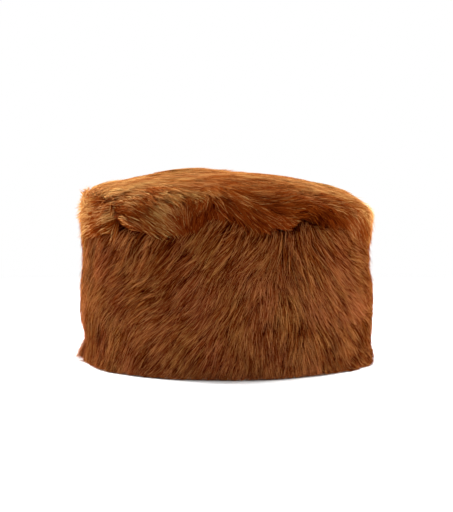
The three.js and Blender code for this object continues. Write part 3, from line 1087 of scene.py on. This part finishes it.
def sunk(form, shares):
    """Rings of points at the underfur's depth inside a form, at shares of its sections."""
    rows = []
    for share in shares:
        point, _, _, out = form.frame(BEARINGS, np.full(len(BEARINGS), share))
        rows.append(point - out * UNDERFUR_DEPTH)
    return np.stack(rows)


def side_underfur(form):
    """Body of the side fur under its strands, from the hide's top over and down to its foot."""
    hide_gap = 0.4
    below_top = 1.5
    inner = HIDE_THICKNESS + hide_gap
    outer = sunk(form, SIDE_RINGS)
    outer[..., 2] = np.clip(outer[..., 2], UNDERFUR_FOOT, None)
    top = oval(BEARINGS, inner, TUBE_TOP - below_top)
    foot = oval(BEARINGS, inner, UNDERFUR_FOOT)
    return grid_mesh("side_underfur", np.concatenate([top[None], outer, foot[None]]))


def crown_underfur(form):
    """Body of the crown fur under its strands, tucked in to the crease and the hide's disc."""
    past_disc = 1
    over_tube = 1.5
    outer = sunk(form, CROWN_RINGS)
    low = oval(BEARINGS, HIDE_THICKNESS + past_disc, TUBE_TOP + over_tube)
    return grid_mesh("crown_underfur", np.concatenate([outer, low[None]]))


def side_hide(material):
    """Smooth tube of hide in place of the faceted one, with its edges rounded."""
    cut = 0.5
    seam = 0.4
    section = [
        (cut, 0),
        (HIDE_THICKNESS - cut, 0),
        (HIDE_THICKNESS, cut),
        (HIDE_THICKNESS, TUBE_TOP - seam),
        (HIDE_THICKNESS - seam, TUBE_TOP),
        (seam, TUBE_TOP),
    ]
    section += [(0, height) for height in np.linspace(TUBE_TOP - seam, cut, 9)]
    section.append((cut, 0))
    rings = np.stack([oval(BEARINGS, stand, height) for stand, height in section])
    made = piece("side_hide", grid_mesh("side_hide", rings), material)
    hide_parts("side_pelt")


def crown_hide(material):
    """Smooth disc of hide in place of the faceted one."""
    under = DISC_LOW[2]
    over = under + HIDE_THICKNESS
    shares = [0.02, 0.5, 1]
    section = [(share, under) for share in shares] + [(share, over) for share in reversed(shares)]
    rings = []
    for share, height in section:
        ring = oval(BEARINGS, HIDE_THICKNESS, height)
        ring[:, :2] *= share
        rings.append(ring)
    made = piece("crown_hide", grid_mesh("crown_hide", np.stack(rings)), material)
    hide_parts("crown_pelt")


def quarters(slot, hair, material):
    """A fur's strands in several pieces by the bearing of their roots."""
    step = 360 / len(QUARTERS)
    turned = np.mod(hair["bearing"] + step / 2, 360)
    made = []
    for number, quarter in enumerate(QUARTERS):
        chosen = (turned >= number * step) & (turned < (number + 1) * step)
        made.append(ribbons(f"{slot}_{quarter}", hair, chosen, material))
    return made


camera()
studio()

rng = np.random.default_rng(SEED)
side_form = Form(side_section, 1)
crown_form = Form(crown_section, 0)
tuck_form = Form(crown_tuck, 0)

side_material = hair_material(
    "side_hair",
    tones=[(0, (62, 15, 1)), (0.5, (126, 63, 26)), (1, (190, 136, 94))],
    red=(255, 226, 210), gold=(252, 246, 198),
    shades=[(0, (92, 60, 44)), (0.5, (196, 184, 172)), (1, (255, 255, 255))],
)
crown_material = hair_material(
    "crown_hair",
    tones=[(0, (62, 15, 1)), (0.5, (129, 61, 22)), (0.6, (154, 94, 50)), (1, (229, 195, 141))],
    red=(255, 234, 215), gold=(252, 249, 214),
    shades=[(0, (140, 104, 80)), (0.4, (220, 206, 194)), (1, (255, 255, 255))],
)
# Underfur darker than the hair: its own colour and painted shade of the fur's depth
deep_material = underfur_material("underfur", (60, 23, 7), (98, 46, 19))

side_hair = grow(rng, side_form, side_lean, SIDE_HAIR, HEM_LINE)
crown_hair = grow(rng, crown_form, crown_lean, CROWN_HAIR)
side_pieces = quarters("side_hair", side_hair, side_material)
crown_pieces = quarters("crown_hair", crown_hair, crown_material)
side_body = piece("side_underfur", side_underfur(side_form), deep_material)
crown_body = piece("crown_underfur", crown_underfur(tuck_form), deep_material)
for made in [*side_pieces, side_body]:
    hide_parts("side_fur")
for made in [*crown_pieces, crown_body]:
    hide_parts("crown_fur")

suede = hide_material()
side_hide(suede)
crown_hide(suede)
